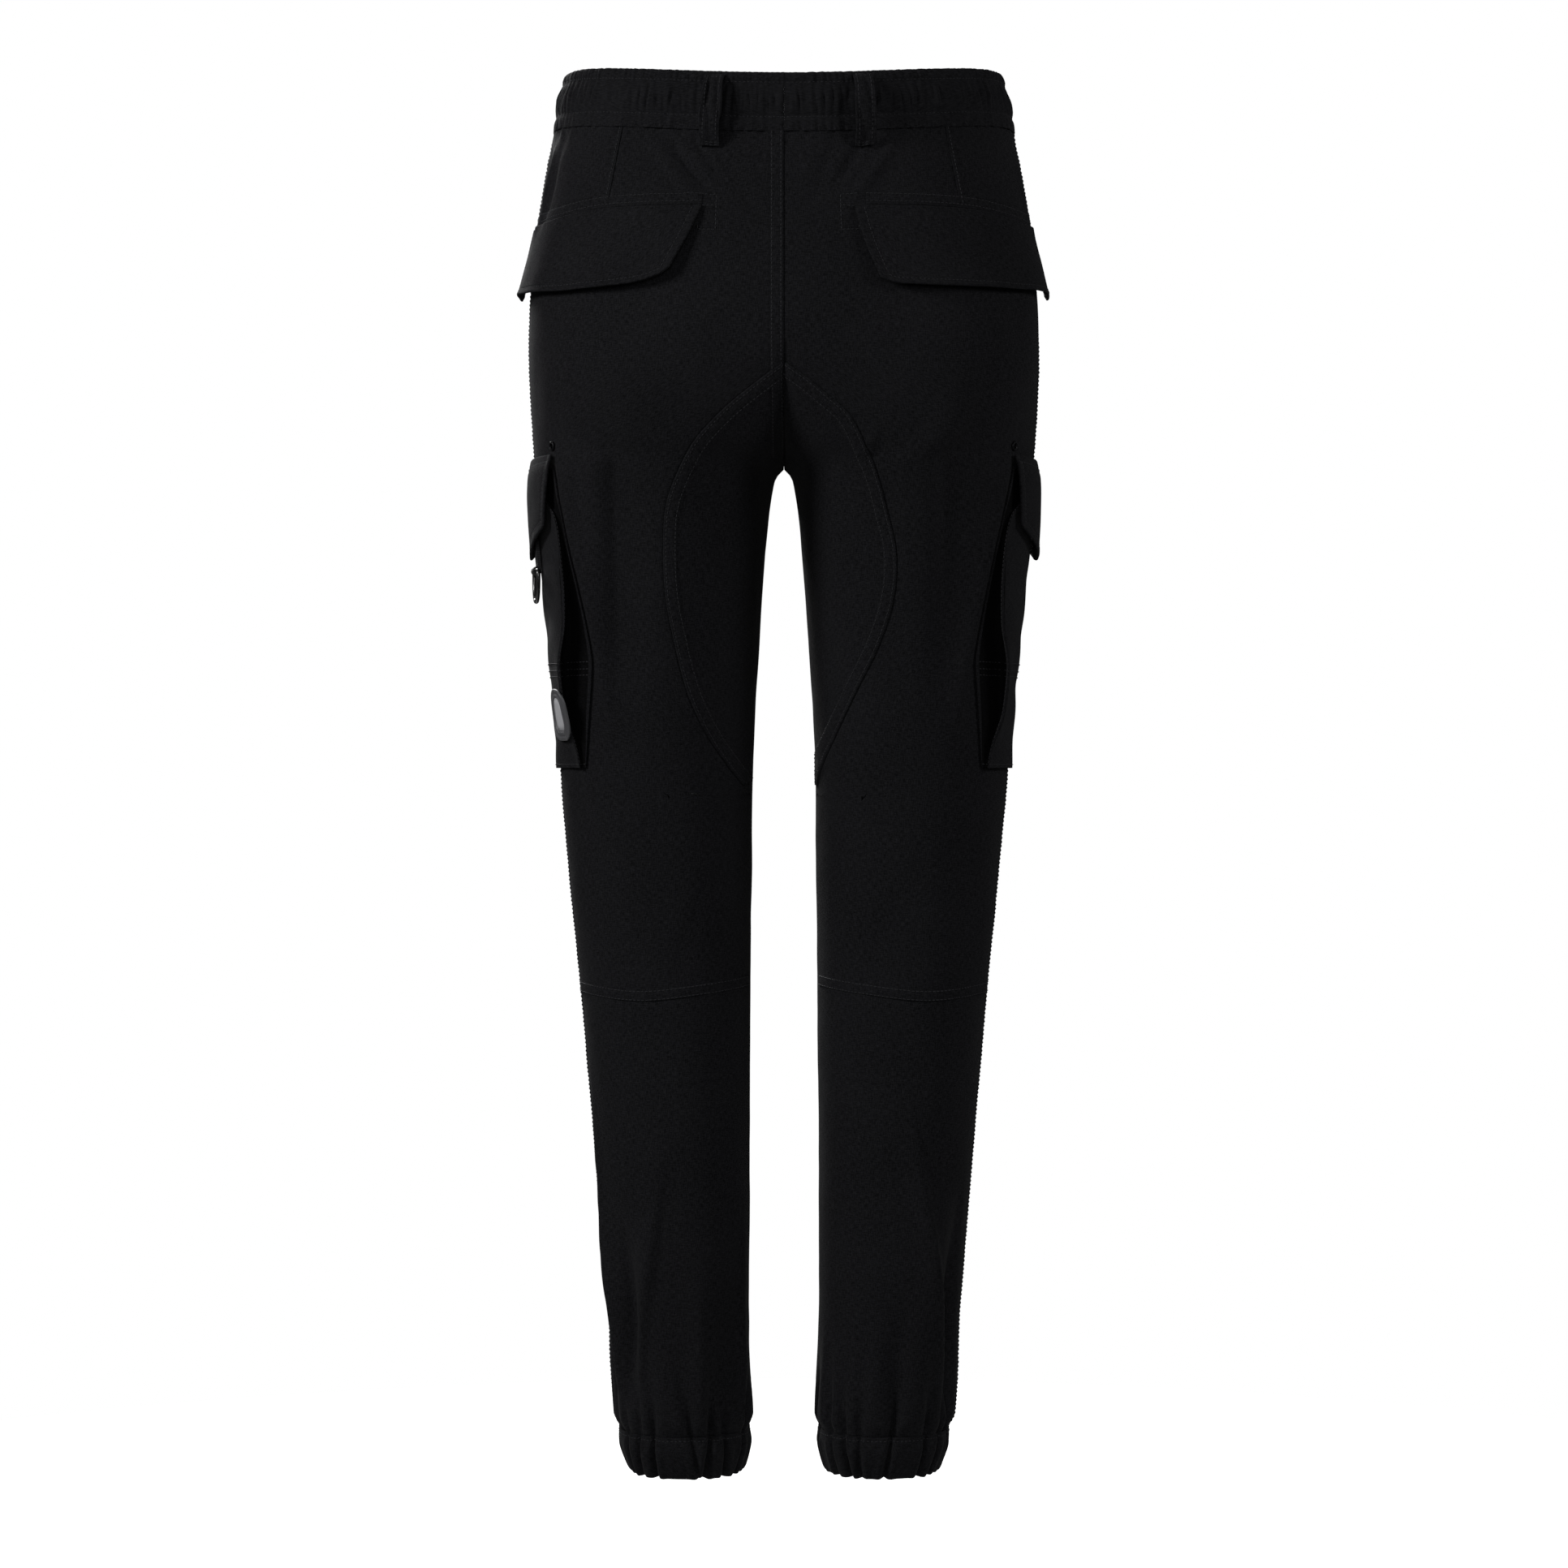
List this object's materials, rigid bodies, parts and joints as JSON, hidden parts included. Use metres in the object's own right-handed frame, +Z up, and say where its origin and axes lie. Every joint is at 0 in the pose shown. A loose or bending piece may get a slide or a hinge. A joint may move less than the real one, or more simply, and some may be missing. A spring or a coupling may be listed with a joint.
{
  "type": "cargo pants",
  "caption": "Elastic-waist tapered cargo pants held in their worn, hollow form, with flapped seat pockets, bellows thigh pockets and gathered cuffs.",
  "frame": {"origin": "centre of the waistband, where the wearer's waist holds it", "axes": "+Z up along the body, the wearer faces -Y, the wearer's left is +X; the picture looks from +Y"},
  "size_m": [0.3908, 0.2521, 1.0252],
  "materials": {
    "cloth": "matt near-black plain weave",
    "webbing": "woven black webbing",
    "ring": "gloss black",
    "badge": "satin moulded rubber",
    "eyelet_metal": "dull plated metal"
  },
  "bodies": {
    "trousers": {"waistband": "cloth", "back_upper_l": "cloth", "back_yoke_l": "cloth", "gusset_l": "cloth", "back_lower_l": "cloth", "front_l": "cloth", "cuff_l": "cloth", "back_flap_l": "cloth", "cargo_bag_upper_l": "cloth", "cargo_bag_lower_l": "cloth", "cargo_flap_l": "cloth", "belt_loop_back_l": "cloth", "belt_loop_front_l": "cloth", "back_upper_r": "cloth", "back_yoke_r": "cloth", "gusset_r": "cloth", "back_lower_r": "cloth", "front_r": "cloth", "cuff_r": "cloth", "back_flap_r": "cloth", "cargo_bag_upper_r": "cloth", "cargo_bag_lower_r": "cloth", "cargo_flap_r": "cloth", "belt_loop_back_r": "cloth", "belt_loop_front_r": "cloth", "eyelet_l": "eyelet_metal", "eyelet_r": "eyelet_metal", "ring_tab": "webbing", "badge": "badge"},
    "d_ring": {"d_ring": "ring"}
  },
  "joints": [
    {"name": "d_ring_swing", "type": "hinge", "parent": "trousers", "child": "d_ring", "pos_m": [0.18093, 0.03156, -0.34738], "axis": [0.168, -0.9858, 0], "range_deg": [0, 130]}
  ]
}
